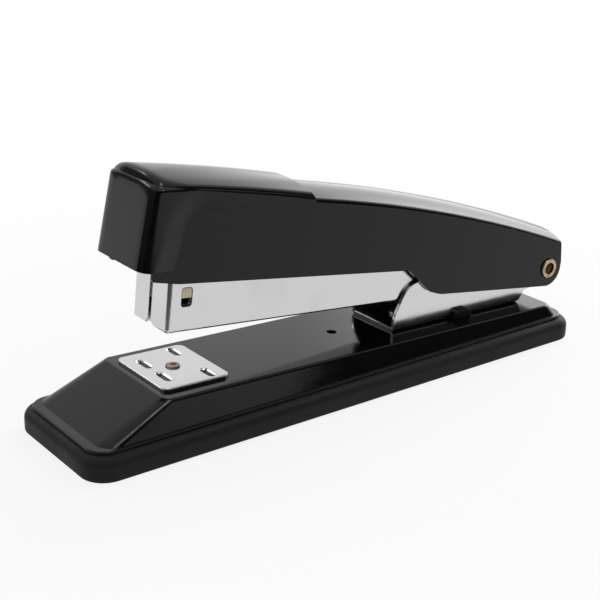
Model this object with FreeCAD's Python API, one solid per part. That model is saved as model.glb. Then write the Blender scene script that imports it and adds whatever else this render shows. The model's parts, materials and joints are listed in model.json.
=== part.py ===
import FreeCAD, Part

import math
import os

# A desk stapler for standard office staples, at rest with its head raised.
#
# Sizes are in millimetres. While it is built, the stapler stands on z = 0 with its nose
# towards -X, its pivot towards +X and the middle of its pad at x = 0. At the end every
# piece is moved along X so that the origin is the middle of the whole stapler's outline.
#
# The head is drawn in "head axes": x runs from the pivot towards the tail, z upwards,
# both measured from the pivot as if the head lay level. It is then tilted about the pivot.
# Pieces on the base's sloping top are drawn in "deck axes", with z = 0 on its surface.

# ---------------------------------------------------------------- overall sizes
pad_length = 170.0
pad_width = 42.5
pad_height = 6.5
pivot_height = 20.2        # pivot above the table
pivot_inset = 3.2          # pivot in from the pad's tail end
nose_setback = 28.4        # pad's front end to the closed magazine's front face

# ---------------------------------------------------------------- pad
pad_corner = 7.0
pad_edge = 2.8             # rounding round its top
pad_foot_edge = 0.8        # and round its foot
pad_floor = 2.5
pad_ledge = 2.9            # rubber left showing beside the shell
pad_ledge_end = 2.5        # and at its two ends
pad_play = 0.15            # shell foot in its pocket

# ---------------------------------------------------------------- base shell
shell_sheet = 1.0
shell_corner = 5.0
deck_corner = 3.0
deck_edge = 0.8
side_lean = 1.95           # each side leans in this much from foot to deck
front_ramp = 21.0          # length of the sloping front
tail_ramp = 4.3
ramp_height = 8.8          # front crease above the pad
deck_fall = 1.95           # degrees, the deck drops towards the tail
hem_proud = 0.5            # rolled hem round the shell's foot
hem_height = 0.9
deck_hole = 1.5            # radius of the drain hole in the deck
deck_hole_back = 77.9      # ahead of the pivot

# ---------------------------------------------------------------- base inner frame
floor_sheet = 1.0          # plate that closes the shell from below
frame_sheet = 1.2
frame_width = 28.0
frame_overlap = 6.0        # frame beyond the bracket at each end
pad_screw_radius = 1.4
pad_screw_head = 2.8
pad_screw_inset = 14.0     # from the shell's ends
pad_screw_spread = 22.0

# ---------------------------------------------------------------- staples and magazine
crown_width = 12.9         # outside width of a standard staple
wire_height = 0.6
leg_length = 6.0
staple_play = 0.25         # each side, staple in the channel
sleeve_sheet = 0.8
sleeve_drop = 4.95         # underside below the pivot
sleeve_height = 14.4
sleeve_bend = 1.2          # bend radius at the nose corners
sleeve_fold = 0.9          # and along its two lower edges
sleeve_tail = 61.5         # pivot to the lower tail corner
sleeve_slant = 6.7         # run of its slanting tail edge
nose_gap = 1.3             # slot between the two nose flanges
nose_chamfer = 1.6
blade_sheet = 0.6
blade_front_play = 0.15
blade_back_play = 0.25
window_width = 3.2         # side slot that shows the hold-down block
window_back = 5.5          # its centre behind the nose
window_low = 1.9
window_high = 7.0
rail_sheet = 0.7
rail_play = 0.15           # staple leg to rail, each side
rail_slot = 3.0
rail_length = 56.0

# ---------------------------------------------------------------- magazine inside
rod_radius = 0.9
rod_below = 1.3            # rod axis below the pivot level
pusher_length = 12.0
pusher_sheet = 0.6
slide_play = 0.1
hub_radius = 2.4
spring_wire = 0.45
spring_coil = 1.75         # mean radius
spring_turns = 15
anchor_length = 3.0
arm_sheet = 0.7
arm_ear = 4.5              # radius round the pivot
arm_reach = 78.0           # pivot to the front end of the arm's floor
arm_play = 0.05            # arm in the sleeve, each side
bridge_top = 5.0           # height of the arm behind the sleeve
channel_top = 8.6          # and of its channel inside the sleeve
block_length = 6.2         # hold-down block
block_low = 4.2
block_height = 4.6
weld_radius = 0.9          # rivets that join arm and sleeve
weld_height = 7.2          # above the pivot level

# ---------------------------------------------------------------- bracket and pivot
bracket_gap = 0.15         # sleeve to bracket, each side
bracket_sheet = 1.0
bracket_ear = 5.0
bracket_front = 62.5       # floor's front end, ahead of the pivot
bracket_tail = 11.4        # and its tail end
bracket_bend = 1.3         # outside radius of its two long bends
tube_radius = 2.2          # hollow pivot rivet
tube_bore = 1.9
tube_head = 3.05
tube_head_height = 0.6
tube_play = 0.05
side_play = 0.1            # rivet head to cover
rivet_radius = 1.5
rivet_head = 2.6
rivet_head_height = 0.9
lug_length = 6.8           # moulded rests beside the bracket
lug_gap = 0.05
lug_peg = 0.6              # radius of the peg through the deck
lug_width = 1.7
lug_height = 2.7
lug_forward = 36.6         # ahead of the pivot

# ---------------------------------------------------------------- cover
cover_gap = 0.35           # bracket to cover, each side
cover_sheet = 0.9
cover_edge = 1.3
cover_crown = 2.6
cover_foot = 1.85          # lower edge of its sides, above the pivot level
cover_tail = 3.7           # behind the pivot
cover_tail_radius = 5.9
cover_front = 7.0          # cover sides ahead of the magazine's nose
cap_sheet = 1.0
cap_proud = 0.5            # cap's skirt outside the cover's side
cap_flare = 1.9            # nose bulge outside the cover's side
cap_crown = 3.1
cap_front = 9.6            # cap's top front edge ahead of the magazine's nose
cap_lean = 1.4             # its front face comes this much further forward at the foot
cap_corner = 3.0
cap_edge = 1.4
cap_low = 5.3              # foot of the cap's front face, above the pivot level
cap_height = 20.5
cap_length = 50.1
leaf_sheet = 0.6
leaf_width = 8.0

# ---------------------------------------------------------------- anvil
anvil_length = 20.3
anvil_width = 24.4
anvil_sheet = 0.9
anvil_corner = 2.0
anvil_play = 0.04          # under the turning plate
groove_radius = 1.5
groove_depth = 0.7
anvil_shank = 1.5
anvil_head = 2.0
groove_offset = 5.6        # each groove pair from the anvil's rivet
anvil_back = 0.3           # front pair behind the blade when the head is up

# ---------------------------------------------------------------- attitudes at rest
magazine_tilt = 5.73
cover_tilt = 8.70

# ---------------------------------------------------------------- worked-out places
pivot_x = pad_length / 2 - pivot_inset
head_reach = pad_length - pivot_inset - nose_setback
shell_length = pad_length - 2 * pad_ledge_end
shell_width = pad_width - 2 * pad_ledge
deck_front = -shell_length / 2 + front_ramp
deck_tail = shell_length / 2 - tail_ramp
deck_top = pad_height + ramp_height
deck_width = shell_width - 2 * side_lean

channel_inner = crown_width + 2 * staple_play
arm_width = channel_inner + 2 * arm_sheet
sleeve_inner = arm_width + 2 * arm_play
sleeve_width = sleeve_inner + 2 * sleeve_sheet
bracket_inner = sleeve_width + 2 * bracket_gap
bracket_width = bracket_inner + 2 * bracket_sheet
cover_inner = bracket_width + 2 * cover_gap
cover_width = cover_inner + 2 * cover_sheet
cap_width = cover_width + 2 * cap_proud
cap_nose_width = cover_width + 2 * cap_flare

sleeve_floor = -sleeve_drop + sleeve_sheet
crown_top = sleeve_floor + leg_length
rail_top = crown_top - wire_height
rail_width = crown_width - 2 * pusher_sheet - 2 * rail_play
nose_x = -head_reach
blade_front = nose_x + sleeve_sheet + blade_front_play
blade_back = blade_front + blade_sheet
rail_front = blade_back + blade_back_play
blade_x = (blade_front + blade_back) / 2
anvil_x = pivot_x + blade_x + groove_offset + anvil_back

lug_x = pivot_x - lug_forward
lug_y = bracket_width / 2 + lug_gap + lug_width / 2
bracket_mid = pivot_x - (bracket_front + bracket_tail) / 2
bracket_half = (bracket_front - bracket_tail) / 2
rivet_places = [bracket_mid - bracket_half * 0.62, bracket_mid + bracket_half * 0.62]
deck_slope = math.tan(math.radians(deck_fall))

Y_AXIS = FreeCAD.Vector(0, 1, 0)
Z_AXIS = FreeCAD.Vector(0, 0, 1)
ORIGIN = FreeCAD.Vector(0, 0, 0)


# ================================================================ drawing helpers
def vec(x, y, z):
    return FreeCAD.Vector(x, y, z)


def block(x0, x1, y0, y1, z0, z1):
    return Part.makeBox(x1 - x0, y1 - y0, z1 - z0, vec(x0, y0, z0))


def across(x, z, radius, y0, y1):
    """Cylinder along Y."""
    return Part.makeCylinder(radius, y1 - y0, vec(x, y0, z), Y_AXIS)


def upright(x, y, radius, z0, z1):
    """Cylinder along Z."""
    return Part.makeCylinder(radius, z1 - z0, vec(x, y, z0), Z_AXIS)


def outline(points, place):
    """Closed wire through (a, b) or (a, b, corner radius) points, set in space by place(a, b)."""
    flat = [FreeCAD.Vector(p[0], p[1], 0) for p in points]
    radii = [p[2] if len(p) > 2 else 0 for p in points]
    corners = []
    for i, here in enumerate(flat):
        back = flat[i - 1] - here
        ahead = flat[(i + 1) % len(flat)] - here
        back.normalize()
        ahead.normalize()
        if radii[i] == 0:
            corners.append([here])
            continue
        half = back.getAngle(ahead) / 2
        inward = back + ahead
        inward.normalize()
        reach = radii[i] / math.tan(half)
        middle = here + inward * (radii[i] / math.sin(half) - radii[i])
        corners.append([here + back * reach, middle, here + ahead * reach])
    edges = []
    for i, corner in enumerate(corners):
        if len(corner) == 3:
            arc = [place(c.x, c.y) for c in corner]
            edges.append(Part.Arc(*arc).toShape())
        start = corner[-1]
        end = corners[(i + 1) % len(corners)][0]
        if (end - start).Length > 1e-6:
            edges.append(Part.LineSegment(place(start.x, start.y), place(end.x, end.y)).toShape())
    return Part.Wire(edges)


def side_solid(points, y0, y1):
    """Prism along Y from an outline of (x, z) points."""
    wire = outline(points, lambda a, b: vec(a, y0, b))
    return Part.Face(wire).extrude(vec(0, y1 - y0, 0))


def plan_solid(points, z0, z1):
    """Prism along Z from an outline of (x, y) points."""
    wire = outline(points, lambda a, b: vec(a, b, z0))
    return Part.Face(wire).extrude(vec(0, 0, z1 - z0))


def rectangle(x0, x1, width, corner):
    half = width / 2
    return [(x0, -half, corner), (x1, -half, corner), (x1, half, corner), (x0, half, corner)]


def rounded_bar(x0, x1, width, corner, z0, z1):
    return plan_solid(rectangle(x0, x1, width, corner), z0, z1)


def soften(shape, radius, chosen):
    """Fillet the edges that chosen(edge) picks."""
    edges = [edge for edge in shape.Edges if chosen(edge)]
    return shape.makeFillet(radius, edges)


def both_sides(shape):
    """The shape and its mirror image across the middle plane."""
    return [shape, shape.mirror(ORIGIN, Y_AXIS)]


def joined(shapes):
    result = shapes[0]
    for shape in shapes[1:]:
        result = result.fuse(shape)
    return result.removeSplitter()


def without(shape, cutters):
    for cutter in cutters:
        shape = shape.cut(cutter)
    return shape


def group(shapes):
    return Part.makeCompound(shapes)


def deck_z(x):
    return deck_top - (x - deck_front) * deck_slope


def on_deck(shape, x):
    """Stand a shape drawn in deck axes on the deck at x."""
    placed = shape.copy()
    placed.rotate(ORIGIN, Y_AXIS, deck_fall)
    placed.translate(vec(x, 0, deck_z(x)))
    return placed


def on_pivot(shape, tilt):
    """Tilt a shape drawn in head axes, nose up, and hang it on the pivot."""
    placed = shape.copy()
    placed.rotate(ORIGIN, Y_AXIS, tilt)
    placed.translate(vec(pivot_x, 0, pivot_height))
    return placed


def on_magazine(shape):
    return on_pivot(shape, magazine_tilt)


def on_cover(shape):
    return on_pivot(shape, cover_tilt)


# ================================================================ base
def base_pad():
    half = pad_length / 2
    pad = rounded_bar(-half, half, pad_width, pad_corner, 0, pad_height)
    pad = soften(pad, pad_edge, lambda e: e.BoundBox.ZMin > pad_height - 0.01)
    pad = soften(pad, pad_foot_edge, lambda e: e.BoundBox.ZMax < 0.01)
    reach = shell_length / 2 + pad_play
    pocket = rounded_bar(-reach, reach, shell_width + 2 * pad_play, shell_corner, pad_floor, pad_height + 1)
    holes = [upright(x, y, pad_screw_head + pad_play, -1, pad_floor + 1) for x, y in pad_screw_places()]
    return without(pad, [pocket] + holes)


def pad_screw_places():
    x = shell_length / 2 - pad_screw_inset
    y = pad_screw_spread / 2
    return [(-x, -y), (-x, y), (x, -y), (x, y)]


def base_floor():
    reach = shell_length / 2 - shell_sheet - pad_play
    width = shell_width - 2 * shell_sheet - 2 * pad_play
    plate = rounded_bar(-reach, reach, width, shell_corner - shell_sheet, pad_floor, pad_floor + floor_sheet)
    return without(plate, [upright(x, y, pad_screw_radius, 0, 9) for x, y in pad_screw_places()])


def pad_screws():
    screws = []
    for x, y in pad_screw_places():
        head = upright(x, y, pad_screw_head, pad_floor - 1.4, pad_floor)
        head = soften(head, 0.4, lambda e: e.BoundBox.ZMax < pad_floor - 1)
        shank = upright(x, y, pad_screw_radius, pad_floor - 1, pad_floor + floor_sheet + 2.5)
        slot = block(x - pad_screw_head, x + pad_screw_head, y - 0.4, y + 0.4, 0, pad_floor - 0.8)
        screws.append(joined([head, shank]).cut(slot))
    return group(screws)


def shell_form(inset, top_inset, corner_inset):
    """Closed wedge-shaped body of the base, drawn inset from its outside."""
    reach = shell_length / 2 - inset
    foot = rectangle(-reach, reach, shell_width - 2 * inset, shell_corner - inset)
    low = outline(foot, lambda a, b: vec(a, b, pad_height))
    slant = math.cos(math.radians(deck_fall))
    length = (deck_tail - deck_front) / slant - top_inset
    top = rectangle(top_inset, length, deck_width - 2 * inset, deck_corner - corner_inset)
    high = outline(top, lambda a, b: vec(a, b, -inset))
    high.rotate(ORIGIN, Y_AXIS, deck_fall)
    high.translate(vec(deck_front, 0, deck_top))
    upper = Part.makeLoft([low, high], True, True)
    lower = Part.Face(low).extrude(vec(0, 0, pad_floor - pad_height))
    return upper.fuse(lower).removeSplitter()


def base_shell():
    outside = shell_form(0, 0, 0)
    outside = soften(outside, deck_edge, on_deck_rim)
    reach = shell_length / 2 + hem_proud
    width = shell_width + 2 * hem_proud
    hem = rounded_bar(-reach, reach, width, shell_corner + hem_proud, pad_height + 0.05, pad_height + hem_height)
    hem = soften(hem, 0.35, lambda e: e.BoundBox.ZLength < 0.01)
    inside = shell_form(shell_sheet, 0.4, shell_sheet)
    below = block(-pad_length, pad_length, -pad_width, pad_width, -5, pad_floor + 0.02)
    shell = joined([outside, hem]).cut(inside).cut(below)
    bores = [on_deck(upright(0, 0, deck_hole, -4, 4), pivot_x - deck_hole_back)]
    bores.append(on_deck(upright(0, 0, anvil_shank + tube_play, -4, 4), anvil_x))
    for y in (-lug_y, lug_y):
        bores.append(on_deck(upright(0, y, lug_peg, -4, 4), lug_x))
    return without(shell, bores + bracket_rivet_bores())


def on_deck_rim(edge):
    """True for the edges round the flat top of the base."""
    for vertex in edge.Vertexes:
        if abs(vertex.Z - deck_z(vertex.X)) > 0.01:
            return False
    return True


def base_frame():
    """Inner channel under the deck, as long as the bracket and a little more."""
    long = bracket_half + frame_overlap
    half = frame_width / 2
    top = -shell_sheet
    plate = block(-long, long, -half, half, top - frame_sheet, top)
    legs = both_sides(block(-long, long, half - frame_sheet, half, -20, top))
    frame = on_deck(joined([plate] + legs), bracket_mid)
    frame = frame.cut(block(-pad_length, pad_length, -pad_width, pad_width, -50, pad_floor + floor_sheet))
    return without(frame, bracket_rivet_bores())


def bracket_rivet_bores():
    return [on_deck(upright(0, 0, rivet_radius, -9, 5), x) for x in rivet_places]


def bracket_rivets():
    """Two rivets through bracket, deck and frame; the rear one also holds the lifting leaf."""
    rivets = []
    low = -shell_sheet - frame_sheet
    for x, seat in zip(rivet_places, (bracket_sheet, bracket_sheet + leaf_sheet)):
        shank = upright(0, 0, rivet_radius, low, seat)
        head = rivet_dome(rivet_head, seat, seat + rivet_head_height)
        tail = upright(0, 0, rivet_head, low - rivet_head_height, low)
        rivets.append(on_deck(joined([tail, shank, head]), x))
    return group(rivets)


def rivet_dome(radius, seat, top):
    head = upright(0, 0, radius, seat, top)
    return soften(head, 0.7 * (top - seat), lambda e: e.BoundBox.ZMin > top - 0.01)


def deck_level(x):
    """Height of the deck under a place x of the head, from the pivot."""
    return deck_z(pivot_x + x) - pivot_height


def hinge_bracket():
    half = bracket_width / 2
    inner = bracket_inner / 2
    side = [
        (-bracket_front, deck_level(-bracket_front)),
        (-bracket_front + 0.1, -3.2, 8.0),
        (-57.6, 5.2, 7.0),
        (-50.0, 7.0, 8.0),
        (-36.0, 7.0, 14.0),
        (-2.0, bracket_ear),
        (0.0, 0.0),
        (-2.0, -bracket_ear),
        (-8.8, -5.7, 1.5),
        (-bracket_tail, deck_level(-bracket_tail)),
    ]
    plate = joined([side_solid(side, -half, half), across(0, 0, bracket_ear, -half, half)])
    long = bracket_front + bracket_ear
    run = on_deck(trough(long, 2 * half, bracket_bend), bracket_mid)
    hollow = on_deck(trough(long + 1, 2 * inner, bracket_bend - bracket_sheet), bracket_mid)
    hollow.translate(vec(0, 0, bracket_sheet))
    pin = on_pivot(across(0, 0, tube_radius, -half - 1, half + 1), 0)
    return without(on_pivot(plate, 0).common(run), [hollow, pin] + bracket_rivet_bores())


def trough(half_length, width, bend):
    """Tall bar along the deck whose two lower long edges are rounded."""
    bar = block(-half_length, half_length, -width / 2, width / 2, 0, 40)
    return soften(bar, bend, lambda e: e.BoundBox.ZMax < 0.01 and e.BoundBox.YLength < 0.01)


def bracket_lugs():
    long = lug_length / 2
    wide = lug_width / 2
    lugs = []
    for y in (-lug_y, lug_y):
        dome = side_solid([(-long, 0), (-long, lug_height, 2.4), (long, lug_height, 1.2), (long, 0)],
                          y - wide, y + wide)
        peg = upright(0, y, lug_peg, -shell_sheet, 0.1)
        outer = math.copysign(lug_y + wide, y)
        lines = [block(-long - 1, long + 1, outer - 0.25, outer + 0.25, h, h + 0.35) for h in (0.6, 1.3, 2.0)]
        lugs.append(on_deck(without(joined([dome, peg]), lines), lug_x))
    return group(lugs)


def lift_spring():
    """Leaf riveted to the bracket's floor whose free end lifts the arm."""
    rise = math.tan(math.radians(magazine_tilt))
    tail = rivet_places[1] - pivot_x + 6.0
    bend = tail - 11.0
    floor = [deck_level(x) + bracket_sheet for x in (tail, bend)]
    tip_x = -47.0
    tip = sleeve_floor - tip_x * rise - leaf_sheet - 0.5
    path = [(tail, floor[0]), (tail, floor[0] + leaf_sheet), (bend, floor[1] + leaf_sheet, 6.0),
            (tip_x, tip + leaf_sheet, 3.0), (tip_x - 4.0, tip), (tip_x - 4.0, tip - leaf_sheet),
            (tip_x, tip, 3.0), (bend, floor[1], 6.0)]
    leaf = on_pivot(side_solid(path, -leaf_width / 2, leaf_width / 2), 0)
    return without(leaf, bracket_rivet_bores())


def pivot_rivet():
    reach = cover_width / 2 + side_play
    tube = across(0, 0, tube_radius, -reach, reach)
    heads = []
    for y0 in (-reach - tube_head_height, reach):
        head = across(0, 0, tube_head, y0, y0 + tube_head_height)
        heads.append(soften(head, 0.25, lambda e: abs(abs(e.CenterOfMass.y) - reach - tube_head_height) < 0.01))
    bore = across(0, 0, tube_bore, -reach - 2, reach + 2)
    return on_pivot(joined([tube] + heads).cut(bore), 0)


def ring(inner, outer, y0, y1):
    return across(0, 0, outer, y0, y1).cut(across(0, 0, inner, y0 - 1, y1 + 1))


def pivot_washers():
    low = bracket_width / 2 + 0.03
    washer = ring(tube_radius + tube_play, tube_head + 1.2, low, cover_inner / 2 - 0.05)
    return group([on_pivot(shape, 0) for shape in both_sides(washer)])


# ================================================================ anvil
def anvil_plate():
    long = anvil_length / 2
    plate = rounded_bar(-long, long, anvil_width, anvil_corner, anvil_play, anvil_play + anvil_sheet)
    top = anvil_play + anvil_sheet
    plate = soften(plate, 0.25, lambda e: e.BoundBox.ZMin > top - 0.01)
    cuts = [upright(0, 0, anvil_shank, -1, 3)]
    for x, inner, outer in ((-groove_offset, 1.6, 8.0), (groove_offset, 5.3, 11.2)):
        for groove in both_sides(groove_cutter(x, inner, outer, top)):
            cuts.append(groove)
    return on_deck(without(plate, cuts), anvil_x)


def groove_cutter(x, inner, outer, top):
    """Hollow that turns one staple leg over: a cylinder laid along Y with a ball at each end."""
    centre = top + groove_radius - groove_depth
    bar = across(x, centre, groove_radius, inner + 1.2, outer - 1.2)
    balls = [Part.makeSphere(groove_radius, vec(x, y, centre)) for y in (inner + 1.2, outer - 1.2)]
    return joined([bar] + balls)


def anvil_rivet():
    top = anvil_play + anvil_sheet
    shank = upright(0, 0, anvil_shank, -shell_sheet - 1.6, top)
    head = upright(0, 0, anvil_head, top, top + 0.45)
    head = soften(head, 0.3, lambda e: e.BoundBox.ZMin > top + 0.1)
    dimple = upright(0, 0, 0.9, top + 0.2, top + 1)
    tail = upright(0, 0, anvil_head + 0.6, -shell_sheet - 2.2, -shell_sheet - 1.4)
    return on_deck(joined([tail, shank, head]).cut(dimple), anvil_x)


def anvil_spring():
    """Dished washer under the deck that presses the anvil's rivet down."""
    high = -shell_sheet - 0.05
    outer = Part.makeCone(3.0, 5.5, 1.0, vec(0, 0, high - 1.0), Z_AXIS)
    inner = Part.makeCone(2.4, 4.9, 1.0, vec(0, 0, high - 1.4), Z_AXIS)
    dish = outer.cut(inner).cut(upright(0, 0, anvil_shank + 0.1, -9, 3))
    return on_deck(dish, anvil_x)


# ================================================================ magazine
def magazine_sleeve():
    low = -sleeve_drop
    high = low + sleeve_height
    half = sleeve_width / 2
    tail = [(nose_x, low), (-sleeve_tail, low), (-sleeve_tail + sleeve_slant, low + 6.55),
            (-sleeve_tail + sleeve_slant - 1.9, low + 8.45), (-sleeve_tail + sleeve_slant - 5.4, high),
            (nose_x, high)]
    bar = side_solid(tail, -half, half)
    bar = soften(bar, sleeve_bend, nose_corner)
    bar = soften(bar, sleeve_fold, lambda e: e.BoundBox.XLength > 60 and e.BoundBox.ZMax < low + 0.01)
    inner = sleeve_inner / 2
    hollow = block(nose_x + sleeve_sheet, 0, -inner, inner, low + sleeve_sheet, high + 1)
    exit_slot = block(nose_x + sleeve_sheet, rail_front, -inner, inner, low - 1, low + sleeve_sheet + 0.1)
    gap = block(nose_x - 1, nose_x + sleeve_sheet + 0.1, -nose_gap / 2, nose_gap / 2, low - 1, high + 1)
    cuts = [hollow, exit_slot, gap]
    for chamfer in both_sides(nose_bevel(low)):
        cuts.append(chamfer)
    cuts.append(window())
    return on_magazine(without(bar, cuts + weld_bores()))


def window():
    """Cutter for the side windows through sleeve and arm at the nose."""
    x = nose_x + window_back
    half = window_width / 2
    points = [(x - half, window_low, 0.8), (x + half, window_low, 0.8),
              (x + half, window_high, 0.8), (x - half, window_high, 0.8)]
    return side_solid(points, -sleeve_width, sleeve_width)


def nose_corner(edge):
    box = edge.BoundBox
    return box.ZLength > sleeve_height - 0.01 and abs(box.XMin - nose_x) < 0.01 and box.XLength < 0.01


def nose_bevel(low):
    """Bevel on the lower inner corner of one nose flange."""
    near = nose_gap / 2
    points = [(near - 0.5, low - 0.5), (near + nose_chamfer, low - 0.5), (near + nose_chamfer, low),
              (near, low + nose_chamfer), (near - 0.5, low + nose_chamfer)]
    wire = outline(points, lambda a, b: vec(nose_x - 1, a, b))
    return Part.Face(wire).extrude(vec(1 + sleeve_sheet, 0, 0))


def weld_places():
    return [(-arm_reach - 6.0, weld_height), (-arm_reach + 2.0, weld_height)]


def weld_bores():
    reach = sleeve_width
    return [across(x, z, weld_radius, -reach, reach) for x, z in weld_places()]


def arm_rivets():
    rivets = []
    inner = channel_inner / 2
    for x, z in weld_places():
        shank = across(x, z, weld_radius, inner, sleeve_width / 2)
        head = across(x, z, weld_radius + 0.5, inner - 0.5, inner)
        rivets += both_sides(joined([shank, head]))
    return group([on_magazine(rivet) for rivet in rivets])


def magazine_arm():
    low = sleeve_floor
    half = arm_width / 2
    front = nose_x + sleeve_sheet + arm_play
    side = [(front, low), (-6.0, low, 3.0), (0.0, 0.0), (-1.0, arm_ear), (-30.0, bridge_top, 20.0),
            (-arm_reach + 14.0, bridge_top, 4.0), (-arm_reach + 6.0, channel_top, 4.0), (front, channel_top)]
    plate = side_solid(side, half - arm_sheet, half)
    ear = across(0, 0, arm_ear, half - arm_sheet, half)
    sides = both_sides(joined([plate, ear]))
    floor = block(-arm_reach, -9.0, -half, half, low, low + arm_sheet)
    bridge = block(-arm_reach + 14.0, -arm_reach + 20.0, -half, half, bridge_top - arm_sheet, bridge_top)
    arm = joined(sides + [floor, bridge])
    pin = across(0, 0, tube_radius + tube_play, -half - 1, half + 1)
    return on_magazine(without(arm, [pin, window()] + weld_bores()))


def arm_spacers():
    half = arm_width / 2
    outer = ring(tube_radius + tube_play, tube_head + 1.2, half + 0.03, bracket_inner / 2 - 0.05)
    inner = ring(tube_radius + tube_play, tube_head + 0.8, -half + arm_sheet + 0.03, half - arm_sheet - 0.03)
    return group([on_magazine(shape) for shape in both_sides(outer) + [inner]])


def staple_rail():
    half = rail_width / 2
    tail = rail_front + rail_length
    bar = block(rail_front, tail, -half, half, sleeve_floor, rail_top)
    hollow = block(rail_front + rail_sheet, tail + 1, -half + rail_sheet, half - rail_sheet,
                   sleeve_floor - 1, rail_top - rail_sheet)
    slot = block(rail_front + 3.0, tail + 1, -rail_slot / 2, rail_slot / 2, rail_top - rail_sheet - 1, rail_top + 1)
    bore = Part.makeCylinder(rod_radius, 9, vec(rail_front - 1, 0, -rod_below), vec(1, 0, 0))
    return on_magazine(without(bar, [hollow, slot, bore]))


def spring_rod():
    start = rail_front + 0.1
    end = -sleeve_tail + 1.0
    rod = Part.makeCylinder(rod_radius, end - start, vec(start, 0, -rod_below), vec(1, 0, 0))
    return on_magazine(rod)


def rod_anchor():
    end = -sleeve_tail - 0.5
    half = channel_inner / 2
    body = block(end - anchor_length, end, -half, half, sleeve_floor + arm_sheet, rail_top)
    body = soften(body, 0.5, lambda e: e.BoundBox.ZMin > rail_top - 0.01)
    bore = Part.makeCylinder(rod_radius, 20, vec(end - 10, 0, -rod_below), vec(1, 0, 0))
    return on_magazine(body.cut(bore))


def hold_down_block():
    """Moulded block across the nose that keeps staples on the rail; its lugs fill the side windows."""
    x = nose_x + window_back
    half = channel_inner / 2
    high = block_low + block_height
    core = block(x - block_length / 2 + 0.4, x + block_length / 2 - 0.4, -half, half, block_low, high)
    core = soften(core, 0.6, lambda e: e.BoundBox.ZMin > high - 0.01)
    wide = window_width / 2 - 0.12
    tall = window_high - 0.15
    reach = sleeve_width / 2 - 0.1
    lug = side_solid([(x - wide, block_low), (x + wide, block_low), (x + wide, tall, 0.8), (x - wide, tall, 0.8)],
                     -reach, reach)
    return on_magazine(joined([core, lug]))


# ================================================================ pusher
def pusher():
    half = rail_width / 2 + slide_play
    low = sleeve_floor + 0.4
    front = rail_front + 0.2
    back = front + pusher_length
    top = rail_top + slide_play
    saddle = block(front, back, -half - pusher_sheet, half + pusher_sheet, low, top + wire_height)
    saddle = soften(saddle, 0.3, lambda e: e.BoundBox.XLength > pusher_length - 0.01 and e.BoundBox.ZMin > top)
    saddle = saddle.cut(block(front - 1, back + 1, -half, half, low - 1, top))
    web_half = rail_slot / 2 - slide_play
    web = block(front + 4.0, back, -web_half, web_half, -rod_below, top + 0.1)
    hub = Part.makeCylinder(hub_radius, pusher_length - 4.0, vec(front + 4.0, 0, -rod_below), vec(1, 0, 0))
    bore = Part.makeCylinder(rod_radius + 0.08, 99, vec(front - 9, 0, -rod_below), vec(1, 0, 0))
    grip = side_solid([(front + 5.0, top + 0.3), (front + 7.5, top + 3.2, 0.6), (back - 1.0, top + 3.2, 0.6),
                       (back, top + 0.3)], -2.5, 2.5)
    return on_magazine(joined([saddle, web, hub, grip]).cut(bore))


def pusher_spring():
    start = rail_front + 0.2 + pusher_length + spring_wire + 0.1
    end = -sleeve_tail - 0.5 - anchor_length - spring_wire - 0.1
    pitch = (end - start) / spring_turns
    helix = Part.makeHelix(pitch, end - start, spring_coil)
    ring_at = Part.Circle(vec(spring_coil, 0, 0), Y_AXIS, spring_wire).toShape()
    coil = Part.Wire(helix.Edges).makePipeShell([Part.Wire([ring_at])], True, True)
    coil.rotate(ORIGIN, Y_AXIS, 90)
    coil.translate(vec(start, 0, -rod_below))
    return on_magazine(coil)


# ================================================================ cover
def circle_through(arc):
    return Part.Arc(*[vec(x, 0, z) for x, z in arc]).toShape().Curve


def arched_bar(half_width, arc, crown, below):
    """Long bar with a crowned top whose side edge follows an arc through three (x, z) points."""
    curve = circle_through(arc)
    centre = curve.Center
    radius = curve.Radius
    rim = centre.z + radius
    low = rim - below
    corners = [vec(centre.x, half_width, low), vec(centre.x, half_width, rim),
               vec(centre.x, 0, rim + crown), vec(centre.x, -half_width, rim), vec(centre.x, -half_width, low)]
    edges = [
        Part.LineSegment(corners[0], corners[1]).toShape(),
        Part.Arc(corners[1], corners[2], corners[3]).toShape(),
        Part.LineSegment(corners[3], corners[4]).toShape(),
        Part.LineSegment(corners[4], corners[0]).toShape(),
    ]
    section = Part.Face(Part.Wire(edges))
    section.rotate(centre, Y_AXIS, -6)
    return section.revolve(centre, Y_AXIS, 30)


def cover_arc(drop):
    return [(3.7, 8.4 - drop), (-42.9, 17.55 - drop), (-96.8, 22.9 - drop)]


def cap_arc(drop):
    shift = head_reach - 138.0
    return [(-98.0 - shift, 24.1 - drop), (-122.5 - shift, 25.75 - drop), (-147.0 - shift, 26.3 - drop)]


def cover_side():
    """Side outline of the cover in head axes."""
    front = nose_x - cover_front
    return [
        (front, 2.7, 0.8),
        (front + 8.0, cover_foot, 20.0),
        (-59.8, cover_foot, 4.0),
        (-50.0, -5.0, 3.0),
        (-45.5, -6.0, 8.0),
        (cover_tail_radius, -cover_tail_radius, cover_tail_radius - 0.3),
        (cover_tail_radius - 0.3, 2.0, 2.0),
        (cover_tail, 9.6, 0.6),
        (cover_tail, 40.0),
        (front + 0.6, 40.0),
    ]


def cover_solid(wall, edge):
    half = cover_width / 2 - wall
    bar = arched_bar(half, cover_arc(wall), cover_crown, 60)
    return soften(bar, edge, lambda e: long_top_edge(e, half))


def long_top_edge(edge, half):
    """True for an edge along the top of an arched bar, at its side."""
    box = edge.BoundBox
    return box.XLength > 40 and box.YLength < 0.01 and abs(abs(box.YMax) - half) < 0.01 and box.ZMax > 10


def cover_outside():
    return cover_solid(0, cover_edge).common(side_solid(cover_side(), -50, 50))


def cover_shell():
    shell = cover_outside().cut(cover_solid(cover_sheet, cover_edge * 0.5))
    bore = across(0, 0, tube_radius + tube_play, -50, 50)
    return on_cover(without(shell, [bore] + cover_rivet_bores()))


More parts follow.
